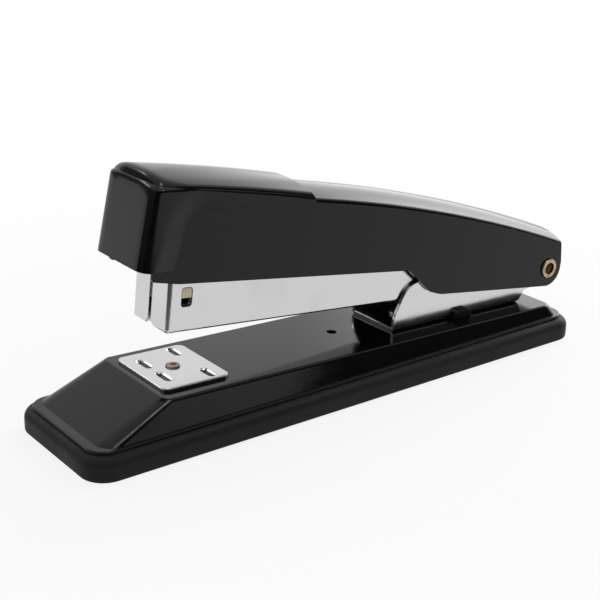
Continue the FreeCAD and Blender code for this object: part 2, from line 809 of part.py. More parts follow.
def cap_plan(inset, lean):
    """Plan outline of the cap, which widens towards the nose, with its front moved out by lean."""
    front = nose_x - cap_front + inset - lean
    side = cap_width / 2 - inset
    nose = cap_nose_width / 2 - inset
    half = [(front, nose, max(cap_corner - inset, 0.5)), (nose_x - cap_front + cap_length + 3.0, side)]
    other = [(p[0], -p[1]) + p[2:] for p in reversed(half)]
    return half + other


def cap_side():
    """Side outline of the cap in head axes: thin along the top, full height at the nose."""
    front = nose_x - cap_front
    tail = front + cap_length
    return [
        (front - 5, cap_low),
        (front + 5.6, cap_low - 0.3, 0.8),
        (front + 7.9, 12.0, 12.0),
        (front + 8.5, 19.0, 4.0),
        (front + 21.3, 21.2, 20.0),
        (front + 39.3, 21.8, 20.0),
        (tail, 22.1),
        (tail - 0.6, 40.0),
        (front - 5, 40.0),
    ]


def cap_solid(inset):
    wide = 1.2
    drop = inset + cap_crown * (wide ** 2 - 1)
    bar = arched_bar(wide * cap_nose_width / 2, cap_arc(drop), cap_crown * wide ** 2, 60)
    low = outline(cap_plan(inset, cap_lean), lambda a, b: vec(a, b, cap_low))
    tall = outline(cap_plan(inset, -cap_lean), lambda a, b: vec(a, b, cap_low + 2 * cap_height))
    return bar.common(Part.makeLoft([low, tall], True, True))


def cap_rim(edge):
    """True for the edges round the cap's top, but not across its tail."""
    box = edge.BoundBox
    return box.ZMin > cap_height and box.ZMax < 2 * cap_height and box.XMin < nose_x + 10


def cover_cap():
    body = cap_solid(0)
    body = soften(body, cap_edge, cap_rim)
    body = body.common(side_solid(cap_side(), -50, 50))
    hood = body.cut(cap_solid(cap_sheet)).cut(cover_outside())
    return on_cover(max(hood.Solids, key=lambda s: s.Volume))


def cover_rivet_places():
    return [nose_x + 12.0, nose_x + 20.0]


def cover_rivet_bores():
    return [upright(x, 0, rivet_radius, 10, 40) for x in cover_rivet_places()]


def roof_z(x):
    """Height of the cover's inside roof on its middle line, in head axes."""
    curve = circle_through(cover_arc(cover_sheet))
    drop = math.sqrt(curve.Radius ** 2 - (x - curve.Center.x) ** 2)
    return curve.Center.z + drop + cover_crown


def driver_blade():
    """Blade that drives the staple, with its top bent back under the roof."""
    lift = roof_z(nose_x + 6) - 2.4
    half = channel_inner / 2 - staple_play / 2
    tip = -sleeve_drop + 0.05
    upright_part = block(blade_front, blade_back, -half, half, tip, lift)
    flange = block(blade_front, nose_x + 26.0, -half + 3, half - 3, lift - blade_sheet, lift)
    blade = joined([upright_part, flange])
    return on_cover(without(blade, cover_rivet_bores()))


def driver_rivets():
    rivets = []
    lift = roof_z(nose_x + 6) - 2.4
    for x in cover_rivet_places():
        roof = roof_z(x)
        shank = upright(x, 0, rivet_radius, lift - blade_sheet - leaf_sheet, roof + cover_sheet - 0.4)
        head = upright(x, 0, rivet_head, lift - blade_sheet - leaf_sheet - 0.8, lift - blade_sheet - leaf_sheet)
        collar = ring_up(x, rivet_radius, rivet_head, lift, roof - 0.3)
        rivets.append(joined([shank, head, collar]))
    return group([on_cover(rivet) for rivet in rivets])


def ring_up(x, inner, outer, z0, z1):
    return upright(x, 0, outer, z0, z1).cut(upright(x, 0, inner, z0 - 1, z1 + 1))


def cover_spring():
    """Leaf riveted under the roof whose free end rests on the arm and lifts the cover."""
    lift = roof_z(nose_x + 6) - 2.4 - blade_sheet
    tilt = math.tan(math.radians(cover_tilt - magazine_tilt))
    tip_x = -arm_reach + 17.0
    tip = bridge_top + tip_x * tilt + 0.3
    path = [(nose_x + 7.5, lift), (nose_x + 24.0, lift, 8.0), (tip_x - 4.0, tip + leaf_sheet, 8.0),
            (tip_x + 3.0, tip + leaf_sheet), (tip_x + 3.0, tip), (tip_x - 4.2, tip, 7.4),
            (nose_x + 24.0, lift - leaf_sheet, 8.6), (nose_x + 7.5, lift - leaf_sheet)]
    leaf = side_solid(path, -leaf_width / 2, leaf_width / 2)
    return on_cover(without(leaf, cover_rivet_bores()))


# ================================================================ the whole stapler
PIECES = {
    "base_pad": base_pad,
    "base_floor": base_floor,
    "pad_screws": pad_screws,
    "base_shell": base_shell,
    "base_frame": base_frame,
    "bracket_rivets": bracket_rivets,
    "hinge_bracket": hinge_bracket,
    "bracket_lugs": bracket_lugs,
    "lift_spring": lift_spring,
    "pivot_rivet": pivot_rivet,
    "pivot_washers": pivot_washers,
    "anvil_plate": anvil_plate,
    "anvil_rivet": anvil_rivet,
    "anvil_spring": anvil_spring,
    "magazine_sleeve": magazine_sleeve,
    "magazine_arm": magazine_arm,
    "arm_rivets": arm_rivets,
    "arm_spacers": arm_spacers,
    "staple_rail": staple_rail,
    "spring_rod": spring_rod,
    "rod_anchor": rod_anchor,
    "hold_down_block": hold_down_block,
    "pusher": pusher,
    "pusher_spring": pusher_spring,
    "cover_shell": cover_shell,
    "cover_cap": cover_cap,
    "driver_blade": driver_blade,
    "driver_rivets": driver_rivets,
    "cover_spring": cover_spring,
}


def main():
    os.makedirs("parts", exist_ok=True)
    shapes = {name: make() for name, make in PIECES.items()}
    boxes = [shape.optimalBoundingBox() for shape in shapes.values()]
    middle = (min(box.XMin for box in boxes) + max(box.XMax for box in boxes)) / 2
    for name, shape in shapes.items():
        shape.translate(vec(-middle, 0, 0))
        shape.exportStep("parts/" + name + ".step")
        print(name, len(shape.Solids), "solids,", shape.isValid(), round(shape.Volume, 1))
    print("pivot at x", round(pivot_x - middle, 4), "z", pivot_height)
    print("anvil rivet at x", round(anvil_x - middle, 4), "z", round(deck_z(anvil_x), 4))


main()
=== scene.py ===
import json
import math

import bmesh
import bpy
from bpy.props import FloatProperty, FloatVectorProperty, IntProperty, PointerProperty
from mathutils import Matrix, Vector
from mathutils.geometry import interpolate_bezier, intersect_point_line


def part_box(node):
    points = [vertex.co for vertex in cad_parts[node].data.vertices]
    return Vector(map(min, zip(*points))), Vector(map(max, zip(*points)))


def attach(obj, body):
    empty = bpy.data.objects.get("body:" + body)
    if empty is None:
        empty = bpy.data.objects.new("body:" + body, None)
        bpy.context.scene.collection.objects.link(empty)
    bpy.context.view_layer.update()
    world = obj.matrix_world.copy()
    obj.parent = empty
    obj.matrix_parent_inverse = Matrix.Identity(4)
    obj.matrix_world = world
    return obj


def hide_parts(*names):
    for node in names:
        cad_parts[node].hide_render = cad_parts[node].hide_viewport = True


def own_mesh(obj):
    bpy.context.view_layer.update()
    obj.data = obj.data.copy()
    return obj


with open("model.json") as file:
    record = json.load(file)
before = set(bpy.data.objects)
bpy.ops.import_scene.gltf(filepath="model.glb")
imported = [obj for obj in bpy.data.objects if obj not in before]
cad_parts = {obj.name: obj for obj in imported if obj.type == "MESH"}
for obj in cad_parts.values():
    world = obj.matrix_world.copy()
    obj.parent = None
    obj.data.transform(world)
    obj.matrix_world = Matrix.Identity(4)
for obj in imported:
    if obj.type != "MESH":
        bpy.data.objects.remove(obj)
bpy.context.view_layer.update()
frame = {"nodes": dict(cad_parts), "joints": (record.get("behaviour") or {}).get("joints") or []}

bl_info = {
    "name": "Desk Stapler",
    "version": (1, 0, 0),
    "blender": (4, 5, 0),
    "location": "3D View > Sidebar > Stapler",
    "description": "Finishes and fine detail of a metal desk stapler, and the stage it stands on",
    "category": "Object",
}

MM = 0.001
JOINTS = {joint["name"]: joint for joint in frame["joints"]}
PIVOT = Vector(JOINTS["magazine_swing"]["pos_m"])
ANVIL = Vector(JOINTS["anvil_turn"]["pos_m"])
ANVIL_AXIS = Vector(JOINTS["anvil_turn"]["axis"])
ANVIL_TOP = max(vertex.co.dot(ANVIL_AXIS) for vertex in frame["nodes"]["anvil_plate"].data.vertices)
RAIL_AXIS = Vector(JOINTS["pusher_slide"]["axis"]).normalized()

SHEEN = 0.245                  # specular level of the enamel and the moulding
HOLLOWS_HALF_LENGTH = 0.009    # region of the anvil plate that holds its hollows
HOLLOWS_HALF_WIDTH = 0.0115
# near-black painted shade laid into the anvil's hollows
HOLLOW_SHADE_COLOUR = (0.05, 0.05, 0.05)
RIVET_MOUTH = 0.0106           # distance of the pivot rivet's rims from the middle

FRONT_WAY = (0.61, 0.79)       # level direction towards the camera, as -x and -y
FLOOR_DROP = 0.0001            # keeps the floor and the foot out of one plane
FLOOR_TONE = 0.86
ROOM_LIGHT = 0.50              # light that the room sheds on dull surfaces
REFLECTED_LAMPS = (            # direction, brightness, tightness
    ((0.876, 0.234, 0.423), 5.0, 40.0),
    ((0.040, -0.300, 0.953), 14.0, 130.0),
    ((-0.354, 0.736, 0.577), 7.0, 160.0),
)
LAMPS = (                      # name, place, width, height, power
    ("light_key", (0.78, 0.24, 0.66), 0.9, 0.62, 7.5),
    ("light_fill", (-0.55, -0.75, 0.75), 0.5, 0.5, 1.5),
)
LAMP_AIM = Vector((0.0, 0.0, 0.03))
CAMERA_PLACE = Vector((-0.21460, -0.26706, 0.15425))
CAMERA_AZIMUTH = math.radians(-37.588)
CAMERA_HEIGHT = math.radians(20.925)
CAMERA_ROLL = math.radians(1.196)


# ================================================================ sizes and colours
class StaplerFinish(bpy.types.PropertyGroup):
    """Colours and gloss of the stapler's finishes."""

    enamel_colour: FloatVectorProperty(
        name="Enamel", description="Colour of the painted steel", subtype="COLOR",
        size=3, min=0.0, max=1.0, default=(0.0020, 0.0020, 0.0022))
    enamel_roughness: FloatProperty(
        name="Enamel roughness", description="0 is a mirror, 1 is chalk", subtype="FACTOR",
        min=0.0, max=1.0, default=0.09)
    cap_colour: FloatVectorProperty(
        name="Cap", description="Colour of the moulded cap", subtype="COLOR",
        size=3, min=0.0, max=1.0, default=(0.0020, 0.0020, 0.0022))
    cap_roughness: FloatProperty(
        name="Cap roughness", description="0 is a mirror, 1 is chalk", subtype="FACTOR",
        min=0.0, max=1.0, default=0.10)
    rubber_colour: FloatVectorProperty(
        name="Rubber", description="Colour of the foot", subtype="COLOR",
        size=3, min=0.0, max=1.0, default=(0.0055, 0.0055, 0.0057))
    rubber_roughness: FloatProperty(
        name="Rubber roughness", description="0 is a mirror, 1 is chalk", subtype="FACTOR",
        min=0.0, max=1.0, default=0.55)
    chrome_colour: FloatVectorProperty(
        name="Chrome", description="Colour of the plated steel", subtype="COLOR",
        size=3, min=0.0, max=1.0, default=(0.62, 0.62, 0.62))
    chrome_roughness: FloatProperty(
        name="Chrome roughness", description="0 is a mirror, 1 is chalk", subtype="FACTOR",
        min=0.0, max=1.0, default=0.17)
    zinc_colour: FloatVectorProperty(
        name="Zinc", description="Colour of the plain plated steel inside", subtype="COLOR",
        size=3, min=0.0, max=1.0, default=(0.50, 0.50, 0.49))
    spring_colour: FloatVectorProperty(
        name="Spring steel", description="Colour of the springs", subtype="COLOR",
        size=3, min=0.0, max=1.0, default=(0.30, 0.30, 0.31))
    bronze_colour: FloatVectorProperty(
        name="Rivets", description="Colour of the two rivets that show", subtype="COLOR",
        size=3, min=0.0, max=1.0, default=(0.50, 0.36, 0.22))
    cream_colour: FloatVectorProperty(
        name="Block", description="Colour of the hold-down block", subtype="COLOR",
        size=3, min=0.0, max=1.0, default=(0.62, 0.54, 0.38))


class StaplerSizes(bpy.types.PropertyGroup):
    """Sizes of the detail and of the stage."""

    coil_turns: IntProperty(
        name="Coil turns", description="Turns of the pusher's spring", min=4, max=40, default=17)
    coil_radius: FloatProperty(
        name="Coil radius", description="From the rod's axis to the middle of the wire",
        subtype="DISTANCE", min=0.0005, max=0.004, default=0.00175)
    coil_wire: FloatProperty(
        name="Coil wire", description="Radius of the spring's wire",
        subtype="DISTANCE", min=0.0001, max=0.001, default=0.00042)
    coil_closed: FloatProperty(
        name="Coil closed", description="Share of its length left when the pusher is right back",
        min=0.1, max=1.0, default=0.28)
    cap_length: FloatProperty(
        name="Cap length", description="From the cap's front to its tail", subtype="DISTANCE",
        min=0.03, max=0.08, default=0.0501)
    cap_front: FloatProperty(
        name="Cap front", description="From the pivot to the cap's front, along the cover",
        subtype="DISTANCE", min=0.1, max=0.2, default=0.1480)
    cap_half_nose: FloatProperty(
        name="Cap nose", description="Half the cap's width at its front", subtype="DISTANCE",
        min=0.008, max=0.02, default=0.01245)
    cap_half_tail: FloatProperty(
        name="Cap tail", description="Half the cap's width at its tail", subtype="DISTANCE",
        min=0.008, max=0.02, default=0.01115)
    cap_crown: FloatProperty(
        name="Cap crown", description="Rise of the cap's top over its rims", subtype="DISTANCE",
        min=0.0, max=0.006, default=0.0031)
    cap_wall: FloatProperty(
        name="Cap wall", description="Thickness of the moulding", subtype="DISTANCE",
        min=0.0003, max=0.003, default=0.0008)
    cover_tilt: FloatProperty(
        name="Cover tilt", description="Lift of the cover at rest", subtype="ANGLE",
        min=0.0, max=0.5, default=math.radians(8.70))
    floor_radius: FloatProperty(
        name="Floor radius", description="Size of the floor", subtype="DISTANCE",
        min=0.5, max=20.0, default=6.0)
    camera_lens: FloatProperty(
        name="Lens", description="Focal length on a 36 mm wide sensor, in millimetres",
        min=10.0, max=300.0, default=77.77)


# ================================================================ shader helpers
class Signal:
    """A shader socket that can be used in Python arithmetic."""

    def __init__(self, sheet, socket):
        self.sheet = sheet
        self.socket = socket

    def combine(self, operation, *others):
        """Result of a maths node fed with others."""
        return self.sheet.add("ShaderNodeMath", {"operation": operation}, *others)

    def __add__(self, other):
        return self.combine("ADD", self, other)

    def __radd__(self, other):
        return self.combine("ADD", other, self)

    def __sub__(self, other):
        return self.combine("SUBTRACT", self, other)

    def __rsub__(self, other):
        return self.combine("SUBTRACT", other, self)

    def __mul__(self, other):
        return self.combine("MULTIPLY", self, other)

    def __rmul__(self, other):
        return self.combine("MULTIPLY", other, self)

    def size(self):
        """Its value without the sign."""
        return self.combine("ABSOLUTE", self)

    def raised(self):
        """The number e raised to this value."""
        return self.combine("EXPONENT", self)

    def highest(self, other):
        return self.combine("MAXIMUM", self, other)

    def between(self, low, high, to_low=0.0, to_high=1.0):
        """Smooth step from to_low to to_high as the value goes from low to high."""
        return self.sheet.add("ShaderNodeMapRange", {"interpolation_type": "SMOOTHSTEP"},
                              self, low, high, to_low, to_high)


class Sheet:
    """One node tree of a material or the world, built with short calls."""

    def __init__(self, name, tree=None):
        if tree is None:
            self.material = bpy.data.materials.new(name)
            self.material.use_nodes = True
            tree = self.material.node_tree
        self.tree = tree
        self.tree.nodes.clear()

    def make(self, kind, settings, *values, **named):
        """New node with its settings, its first inputs and its named inputs."""
        node = self.tree.nodes.new(kind)
        for key, value in settings.items():
            setattr(node, key, value)
        for i, value in enumerate(values):
            self.feed(node.inputs[i], value)
        for key, value in named.items():
            self.feed(node.inputs[key.replace("_", " ")], value)
        return node

    def feed(self, socket, value):
        if isinstance(value, Signal):
            self.tree.links.new(value.socket, socket)
        elif value is not None:
            socket.default_value = value

    def add(self, kind, settings, *values, output=0, **named):
        """One output of a new node."""
        node = self.make(kind, settings, *values, **named)
        return Signal(self, node.outputs[output])

    def place(self, scale=(1.0, 1.0, 1.0)):
        """Object coordinates, stretched."""
        here = self.add("ShaderNodeTexCoord", {}, output="Object")
        return self.add("ShaderNodeMapping", {}, here, None, None, scale)

    def noise(self, where, scale, detail=3.0, roughness=0.5):
        return self.add("ShaderNodeTexNoise", {}, output="Fac", Vector=where, Scale=scale,
                        Detail=detail, Roughness=roughness)

    def tint(self, amount, dark, light):
        """Colour between two colours or signals, by amount."""
        ends = [end if isinstance(end, Signal) else rgba(end) for end in (dark, light)]
        return self.add("ShaderNodeMix", {"data_type": "RGBA"}, amount, None, None, None, None, None,
                        *ends, output=2)

    def bump(self, height, strength, distance, normal=None):
        return self.add("ShaderNodeBump", {}, strength, distance, Height=height, Normal=normal)

    def rounded(self, radius):
        """Normal that rounds off the sharp edges by a small radius."""
        return self.add("ShaderNodeBevel", {"samples": 6}, radius)

    def surface(self, **named):
        """Ends the material with a principled shader."""
        shader = self.make("ShaderNodeBsdfPrincipled", {}, **named)
        out = self.tree.nodes.new("ShaderNodeOutputMaterial")
        self.tree.links.new(shader.outputs[0], out.inputs[0])
        return self.material


def rgba(colour):
    return (colour[0], colour[1], colour[2], 1.0)


def scaled(colour, factor):
    return tuple(min(1.0, part * factor) for part in colour)


# ================================================================ finishes
def gloss_enamel(finish):
    """Stoved black enamel: deep gloss, a trace of orange peel and a little handling haze."""
    sheet = Sheet("gloss_enamel")
    where = sheet.place()
    haze = sheet.noise(where, 38.0, 4.0)
    peel = sheet.noise(where, 900.0, 2.0)
    specks = sheet.noise(where, 2600.0, 1.0).between(0.70, 0.78)
    base, gloss = finish.enamel_colour, finish.enamel_roughness
    colour = sheet.tint(haze * 0.5 + specks * 0.3, base, scaled(base, 1.7))
    rough = haze.between(0.35, 0.75, gloss * 0.75, gloss * 1.35)
    normal = sheet.bump(peel, 0.06, 0.00006, sheet.rounded(0.00018))
    return sheet.surface(Base_Color=colour, Roughness=rough, Normal=normal, Specular_IOR_Level=SHEEN)


def moulded_cap(finish):
    """Polished black moulding, a touch softer than the enamel, with faint flow lines."""
    sheet = Sheet("moulded_cap")
    flow = sheet.noise(sheet.place((1.0, 4.0, 4.0)), 60.0, 3.0)
    grain = sheet.noise(sheet.place(), 1500.0, 2.0)
    base, gloss = finish.cap_colour, finish.cap_roughness
    colour = sheet.tint(flow, base, scaled(base, 1.5))
    rough = flow.between(0.3, 0.8, gloss * 0.8, gloss * 1.3)
    normal = sheet.bump(grain, 0.05, 0.00005, sheet.rounded(0.00025))
    return sheet.surface(Base_Color=colour, Roughness=rough, Normal=normal, Specular_IOR_Level=SHEEN)


def moulded_rubber(finish):
    """Black rubber with a fine pebbled skin and dusty patches."""
    sheet = Sheet("moulded_rubber")
    where = sheet.place()
    pebble = sheet.add("ShaderNodeTexVoronoi", {"feature": "SMOOTH_F1"}, output="Distance",
                       Vector=where, Scale=1400.0)
    dust = sheet.noise(where, 55.0, 5.0).between(0.45, 0.8)
    colour = sheet.tint(dust, finish.rubber_colour, scaled(finish.rubber_colour, 1.9))
    rough = dust * 0.2 + finish.rubber_roughness
    normal = sheet.bump(pebble, 0.25, 0.00008, sheet.rounded(0.0003))
    return sheet.surface(Base_Color=colour, Roughness=rough, Normal=normal, Specular_IOR_Level=0.2)


def bright_chrome(finish):
    """Chrome plate with fine rolling lines and soft handling marks, with painted shade darkening the
    anvil's hollows.
    """
    sheet = Sheet("bright_chrome")
    where = sheet.place()
    lines = sheet.noise(sheet.place((0.05, 1.0, 1.0)), 2600.0, 2.0)
    marks = sheet.noise(where, 70.0, 4.0).between(0.5, 0.85)
    polished = sheet.tint(marks, finish.chrome_colour, scaled(finish.chrome_colour, 0.93))
    parts = sheet.make("ShaderNodeSeparateXYZ", {}, where)
    along, aside, up = (Signal(sheet, part) for part in parts.outputs)
    depth = ANVIL_TOP - (along * ANVIL_AXIS.x + up * ANVIL_AXIS.z)
    ends = (HOLLOWS_HALF_LENGTH - 0.0002, HOLLOWS_HALF_LENGTH + 0.0002, 1.0, 0.0)
    sides = (HOLLOWS_HALF_WIDTH - 0.0002, HOLLOWS_HALF_WIDTH + 0.0002, 1.0, 0.0)
    near = (along - ANVIL.x).size().between(*ends) * aside.size().between(*sides)
    # painted shade: inside the hollows' region, below the plate's top, the colour is darkened to near
    # black
    sunk = near * depth.between(0.00012, 0.00060) * depth.between(0.0012, 0.0014, 1.0, 0.0)
    colour = sheet.tint(sunk, polished, HOLLOW_SHADE_COLOUR)
    rough = marks * 0.10 + lines * 0.05 + (finish.chrome_roughness - 0.03)
    normal = sheet.bump(lines, 0.05, 0.00002, sheet.rounded(0.0003))
    return sheet.surface(Base_Color=colour, Metallic=1.0, Roughness=rough, Normal=normal)


def zinc_plate(finish):
    """Dull plated steel of the hidden pieces, with the patchy bloom of zinc."""
    sheet = Sheet("zinc_plate")
    bloom = sheet.noise(sheet.place(), 240.0, 4.0)
    colour = sheet.tint(bloom, scaled(finish.zinc_colour, 0.85), scaled(finish.zinc_colour, 1.1))
    rough = bloom.between(0.3, 0.7, 0.28, 0.45)
    normal = sheet.bump(bloom, 0.06, 0.00003, sheet.rounded(0.00015))
    return sheet.surface(Base_Color=colour, Metallic=1.0, Roughness=rough, Normal=normal)


def spring_steel(finish):
    """Tempered spring steel, dark with a warm cast where it was let down."""
    sheet = Sheet("spring_steel")
    temper = sheet.noise(sheet.place(), 90.0, 3.0)
    warm = tuple(part * gain for part, gain in zip(finish.spring_colour, (1.15, 1.02, 0.88)))
    colour = sheet.tint(temper, finish.spring_colour, warm)
    rough = temper.between(0.3, 0.7, 0.24, 0.38)
    normal = sheet.bump(temper, 0.04, 0.00002, sheet.rounded(0.0001))
    return sheet.surface(Base_Color=colour, Metallic=1.0, Roughness=rough, Normal=normal)


def turned_bronze(finish):
    """Bronze-coloured rivets, brighter on their rims than inside the hollow one."""
    sheet = Sheet("turned_bronze")
    where = sheet.place()
    tarnish = sheet.noise(where, 420.0, 4.0).between(0.35, 0.7)
    across = sheet.add("ShaderNodeSeparateXYZ", {}, where, output=1)
    inside = across.size().between(RIVET_MOUTH - 0.0005, RIVET_MOUTH, 1.0, 0.0)
    base = finish.bronze_colour
    bright = sheet.tint(tarnish, base, scaled(base, 0.55))
    # inside the hollow rivet the colour is darker and less metallic than on the rims
    darker_inside = sheet.tint(tarnish, scaled(base, 0.75), scaled(base, 0.25))
    colour = sheet.tint(inside, bright, darker_inside)
    rough = tarnish * 0.18 + 0.22
    normal = sheet.bump(tarnish, 0.08, 0.00003, sheet.rounded(0.00015))
    return sheet.surface(Base_Color=colour, Metallic=1.0 - inside * 0.6, Roughness=rough, Normal=normal)


def cream_moulding(finish):
    """Pale moulding of the hold-down block."""
    sheet = Sheet("cream_moulding")
    cloud = sheet.noise(sheet.place(), 300.0, 3.0)
    colour = sheet.tint(cloud, scaled(finish.cream_colour, 0.85), finish.cream_colour)
    normal = sheet.bump(cloud, 0.05, 0.00003, sheet.rounded(0.0002))
    return sheet.surface(Base_Color=colour, Roughness=0.38, Normal=normal, Specular_IOR_Level=0.5)


FINISHES = {}


def finish_for(make):
    """The material of one finish, made once."""
    if make.__name__ not in FINISHES:
        FINISHES[make.__name__] = make(bpy.context.scene.stapler_finish)
    return FINISHES[make.__name__]


def dress(make, *names):
    """Give CAD nodes a finish."""
    material = finish_for(make)
    for name in names:
        for slot in frame["nodes"][name].material_slots:
            slot.material = material


# ================================================================ cap
def through(x, points):
    """Height at x of the parabola through three points."""
    (x0, z0), (x1, z1), (x2, z2) = points
    first = z0 * (x - x1) * (x - x2) / ((x0 - x1) * (x0 - x2))
    second = z1 * (x - x0) * (x - x2) / ((x1 - x0) * (x1 - x2))
    third = z2 * (x - x0) * (x - x1) / ((x2 - x0) * (x2 - x1))
    return first + second + third


def eased(t):
    """Smooth step from 0 to 1."""
    t = min(1.0, max(0.0, t))
    return t * t * (3.0 - 2.0 * t)


class CapShape:
    """The cap's outside in millimetres: x along the cover and z square to it, from the pivot.

    Places on it are given by their depths: a behind the front, b inside the side and c under
    the top.
    """

    foot = 5.3               # front's lower edge
    top = 27.0               # rims at the front, half way and at the tail
    middle_rim = 26.0
    tail_rim = 24.1
    lean = 1.4               # the front's foot is this far ahead of its top
    flush = 10.65            # half width of the cover's outside
    sunk = 0.06              # lower edge inside the cover's side near the nose
    proud_tail = 0.48        # and outside it towards the tail
    proud_from = 11.5        # where the change starts behind the front
    proud_run = 9.0
    swell = 7.5              # distance from the lower edge to the side's full width
    rim_radius = 1.3
    corner_radius = 3.8      # upright corners beside the front
    corner_from = 2.0        # depth where a corner's radius starts to shrink to the rim's
    corner_run = 6.0
    brow = 0.3               # extra drop of the rounding right at the front
    brow_from = 0.5
    brow_run = 2.0
    bow = 4.0                # the tail's edge is bowed forward in the middle
    arch_power = 2.6         # how flat the top is across
    left_at_front = 0.15     # share of the crown left at the front edge
    crown_run = 3.0          # depth at which the crown is full
    crown_lost = 0.7         # lower crown at the front than at the tail
    climb_weight = 0.12      # how far a climb of the lower edge spreads the columns
    steps = (0.0, 0.15, 0.35, 0.6, 0.9, 1.25, 1.65, 2.1, 2.6, 3.3, 4.2, 5.3, 6.6)
    plain_rows = 10
    edge_rows = (1.25, 1.0, 0.75, 0.5, 0.25, 0.0)
    edge_start = 0.6         # plain rows stop this far under the rounding
    half_across = (-1.0, -0.975, -0.94, -0.9, -0.85, -0.79, -0.7, -0.58, -0.44, -0.3, -0.15)

    def __init__(self, sizes):
        self.front = -sizes.cap_front / MM
        self.length = sizes.cap_length / MM
        self.nose = sizes.cap_half_nose / MM
        self.skirt = sizes.cap_half_tail / MM
        self.crown = sizes.cap_crown / MM
        self.across = self.half_across + (0.0,) + tuple(-v for v in reversed(self.half_across))
        line = [Vector((self.front + behind - self.front_at(z), z))
                for behind, z in self.border() if behind > 8.0]
        self.edge = list(zip(line, line[1:]))

    def front_at(self, z):
        """Where the leaning front is at a height."""
        return self.front - self.lean * (self.top - z) / (self.top - self.foot)

    def rim(self, a):
        """Height of the side's upper edge."""
        middle, tail = (self.length / 2, self.middle_rim), (self.length, self.tail_rim)
        return through(a, ((0.0, self.top), middle, tail))

    def half_width(self, a):
        """Half the full width."""
        return self.nose + (self.skirt - self.nose) * max(0.0, a) / self.length

    def border(self):
        """Lower edge of one side from the front to the tail: places behind the front and heights."""
        line = [(step, self.foot) for step in self.steps]
        arcs = (((8.9, self.foot), (9.6, 8.0), (10.4, 10.6), (10.6, 14.0), 8),
                ((10.6, 14.0), (10.9, 19.6), (12.0, 20.5), (21.3, 21.2), 14),
                ((21.3, 21.2), (31.0, 21.75), (39.3, 21.9), (self.length, 22.1), 18))
        for *corners, count in arcs:
            run = interpolate_bezier(*(Vector((*spot, 0.0)) for spot in corners), count + 1)
            joined = 1 if corners[0][1] > self.foot else 0
            line += [(spot.x, spot.y) for spot in run[joined:]]
        return line

    def from_border(self, spot):
        """Distance from the edge that lies on the cover."""
        nearest = self.length
        for start, end in self.edge:
            share = intersect_point_line(spot, start, end)[1]
            nearest = min(nearest, (spot - start.lerp(end, min(1.0, max(0.0, share)))).length)
        return nearest

    def proud(self, behind):
        """How far the lower edge stands off the cover's side."""
        share = eased((behind - self.proud_from) / self.proud_run)
        return (self.sunk + self.proud_tail) * share - self.sunk

    def roll(self, a):
        """Height of the crown: it rises fast behind the front, then slowly towards the tail."""
        reach = 1.0 - min(1.0, a / self.crown_run)
        share = self.left_at_front + (1.0 - self.left_at_front) * math.sqrt(1.0 - reach * reach)
        return share * (self.crown - self.crown_lost * (1.0 - a / self.length))

    def soften(self, a, b, c):
        """Depths of the rounded surface for those of the sharp one."""
        wide = self.corner_radius - self.rim_radius
        side = self.rim_radius + wide * (1.0 - eased((a - self.corner_from) / self.corner_run))
        face = self.rim_radius + wide * (1.0 - eased((b - self.corner_from) / self.corner_run))
        down = self.rim_radius + self.brow * (1.0 - eased((a - self.brow_from) / self.brow_run))
        limits = (face, side, down)
        turned = Vector([max(0.0, 1.0 - depth / limit) for depth, limit in zip((a, b, c), limits)])
        turned.normalize()
        return [limit * (1.0 - part) if depth < limit else depth
                for depth, limit, part in zip((a, b, c), limits, turned)]

    def spot(self, a, b, c, width, top):
        """Point of the rounded surface."""
        a, b, c = self.soften(a, b, c)
        z = top - c
        return self.front_at(min(z, self.top)) + a, width - b, z

    def spot_across(self, a, v, c, width, top):
        """Point of the rounded surface at a share v of the half width, of either sign."""
        x, y, z = self.spot(a, (1.0 - abs(v)) * width, c, width, top)
        return x, math.copysign(y, v), z

    def arch(self, v):
        """Share of the crown across the top."""
        return 1.0 - abs(v) ** self.arch_power

    def levels(self, foot, rim):
        """Heights of a column's points, closer together where the top is rounded."""
        reach = rim - self.rim_radius - self.edge_start - foot
        plain = [foot + reach * (j / self.plain_rows) for j in range(self.plain_rows)]
        return plain + [rim - self.rim_radius * t for t in self.edge_rows]

    def columns(self):
        """Each column of the side: depth and height of its foot, and depth of its top."""
        border = self.border()
        runs = [0.0]
        for (x0, z0), (x1, z1) in zip(border, border[1:]):
            runs.append(runs[-1] + (x1 - x0 + self.climb_weight * abs(z1 - z0)))
        last = len(self.steps) - 1
        ahead = self.steps[last]
        spread = (self.length - ahead) / (runs[-1] - runs[last])
        straight = [(behind, z, behind) for behind, z in border[:last + 1]]
        return straight + [(self.front + behind - self.front_at(z), z, ahead + spread * (run - runs[last]))
                           for (behind, z), run in zip(border[last + 1:], runs[last + 1:])]

    def side_grid(self):
        """Points of one side, column by column."""
        grid = []
        for (behind, foot), (low, _, high) in zip(self.border(), self.columns()):
            rim = self.rim(high)
            edge = self.flush + self.proud(behind)
            column = []
            for z in self.levels(foot, rim):
                a = low + (high - low) * (z - foot) / (rim - foot)
                full = self.half_width(a)
                start = min(edge, full)
                share = min(1.0, self.from_border(Vector((a, z))) / self.swell)
                width = start + (full - start) * (0.6 * share + 0.4 * eased(share))
                column.append(self.spot(a, 0.0, rim - z, width, rim))
            grid.append(column)
        return grid

    def top_grid(self):
        """Points of the top, line by line across it."""
        grid = []
        for _, _, high in self.columns():
            rim, width, crown = self.rim(high), self.half_width(high), self.roll(high)
            bow = self.bow * (high / self.length) ** 2
            line = []
            for v in self.across:
                arch = self.arch(v)
                line.append(self.spot_across(high - bow * arch, v, 0.0, width, rim + crown * arch))
            grid.append(line)
        return grid

    def front_grid(self):
        """Points of the front, line by line across it."""
        rim, crown = self.rim(0.0), self.roll(0.0)
        grid = []
        for z in self.levels(self.foot, rim):
            share = (z - self.foot) / (rim - self.foot)
            line = []
            for v in self.across:
                top = rim + self.arch(v) * crown
                under = (top - self.foot) * (1.0 - share)
                line.append(self.spot_across(0.0, v, under, self.nose, top))
            grid.append(line)
        return grid


